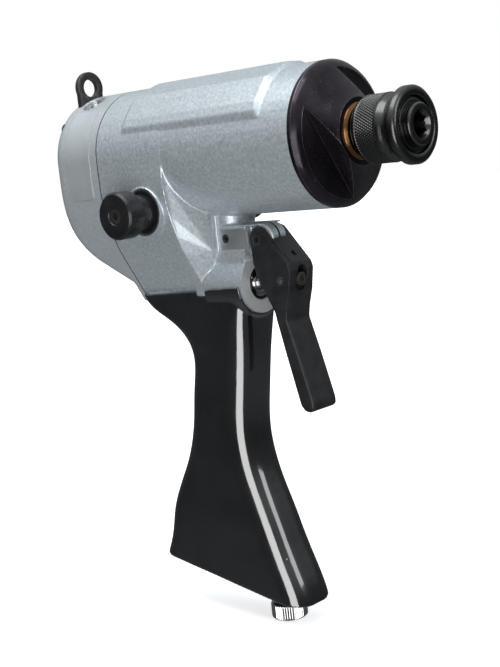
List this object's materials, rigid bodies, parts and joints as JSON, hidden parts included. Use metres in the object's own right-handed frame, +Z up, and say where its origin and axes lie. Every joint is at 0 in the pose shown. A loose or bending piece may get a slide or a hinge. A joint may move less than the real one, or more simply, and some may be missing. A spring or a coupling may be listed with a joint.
{
  "type": "hydraulic impact driver",
  "caption": "Hand-held hydraulic impact drill and driver with a pistol grip, lever trigger, push-pull reversing spool and quick-change hex chuck.",
  "frame": {"origin": "on the spindle axis, in the joint face between the barrel casting and the nose cover", "axes": "+X forward along the spindle, +Z up, +Y to the tool's left"},
  "size_m": [0.2372, 0.1102, 0.3224],
  "materials": {
    "cast_silver": "sand-cast aluminium with silver-grey paint, fine mottled grain",
    "satin_band": "satin printed metal band, left blank",
    "gloss_black": "black anodised, polished to a gloss",
    "black_steel": "black oxide steel",
    "dark_steel": "hardened steel, dark phosphate",
    "bright_steel": "ground bright steel",
    "chrome": "bright chrome plate",
    "bronze": "bearing bronze",
    "black_aluminium": "black anodised, satin",
    "trigger_black": "black anodised, satin",
    "vinyl": "dipped black vinyl, very glossy",
    "seal_rubber": "moulded nitrile rubber",
    "gasket": "dark sheet gasket"
  },
  "bodies": {
    "housing": {"main_housing": "cast_silver", "rear_cap": "cast_silver", "cap_gasket": "gasket", "wear_plate": "bronze", "cap_screws": "black_steel", "name_band": "satin_band", "lanyard_eye": "black_steel", "eye_pin": "bright_steel", "cap_plug": "bright_steel", "idler_shaft": "bright_steel", "shaft_seal": "seal_rubber", "main_bearing": "bright_steel", "nose_cover": "gloss_black", "nose_bush": "bronze", "thrust_washer": "bronze", "spool_bushes": "black_aluminium", "trigger_pivot_pin": "black_steel", "valve_liner": "bright_steel", "valve_gland": "black_aluminium", "wiper_ring": "chrome", "throttle_spring": "bright_steel", "pad_set_screw": "black_steel", "grip": "vinyl", "control_block": "black_aluminium", "control_screws": "black_steel"},
    "motor": {"drive_gear": "bright_steel", "gear_key": "bright_steel", "cam_shaft": "bright_steel", "hammer": "dark_steel", "hammer_balls": "chrome", "hammer_spring": "bright_steel"},
    "idler": {"idler_gear": "bright_steel"},
    "spindle": {"output_anvil": "dark_steel", "chuck_snap_rings": "black_steel", "chuck_washer": "black_steel", "detent_ball": "chrome"},
    "chuck_collar": {"chuck_sleeve": "dark_steel", "chuck_spring": "bright_steel"},
    "reverser": {"reversing_spool": "bright_steel", "reversing_knobs": "black_aluminium", "knob_screws": "black_steel"},
    "trigger": {"trigger_lever": "trigger_black", "trigger_cross_pin": "bright_steel", "adjusting_screw": "bright_steel"},
    "throttle": {"throttle_spool": "bright_steel"},
    "needle": {"flow_needle": "bright_steel"},
    "flow_control": {"flow_knob": "chrome"}
  },
  "joints": [
    {"name": "motor_spin", "type": "hinge", "parent": "housing", "child": "motor", "pos_m": [-0.1336, 0, 0], "axis": [1, 0, 0], "continuous": true},
    {"name": "idler_spin", "type": "hinge", "parent": "housing", "child": "idler", "pos_m": [-0.1336, 0, -0.024], "axis": [1, 0, 0], "continuous": true},
    {"name": "spindle_spin", "type": "hinge", "parent": "housing", "child": "spindle", "pos_m": [0, 0, 0], "axis": [1, 0, 0], "continuous": true},
    {"name": "chuck_pull", "type": "slide", "parent": "spindle", "child": "chuck_collar", "axis": [1, 0, 0], "range_m": [0, 0.005], "deforming": ["chuck_spring"]},
    {"name": "reverse_push", "type": "slide", "parent": "housing", "child": "reverser", "axis": [0, 1, 0], "range_m": [0, 0.01]},
    {"name": "trigger_squeeze", "type": "hinge", "parent": "housing", "child": "trigger", "pos_m": [-0.0529, 0, -0.0511], "axis": [0, 1, 0], "range_deg": [0, 15]},
    {"name": "throttle_slide", "type": "slide", "parent": "housing", "child": "throttle", "axis": [-1, 0, 0], "range_m": [0, 0.00613], "deforming": ["throttle_spring"]},
    {"name": "needle_feed", "type": "slide", "parent": "housing", "child": "needle", "axis": [0, 0, 1], "range_m": [-0.002, 0.002]},
    {"name": "flow_knob_turn", "type": "hinge", "parent": "needle", "child": "flow_control", "pos_m": [-0.067, 0, -0.255], "axis": [0, 0, 1], "range_deg": [-720, 720]}
  ],
  "couplings": [
    {"joint": "idler_spin", "follows": "motor_spin", "ratio": -1},
    {"joint": "spindle_spin", "follows": "motor_spin", "ratio": 1},
    {"joint": "throttle_slide", "follows": "trigger_squeeze", "m_per_rad": 0.0234},
    {"joint": "flow_knob_turn", "follows": "needle_feed", "rad_per_m": 6283}
  ]
}
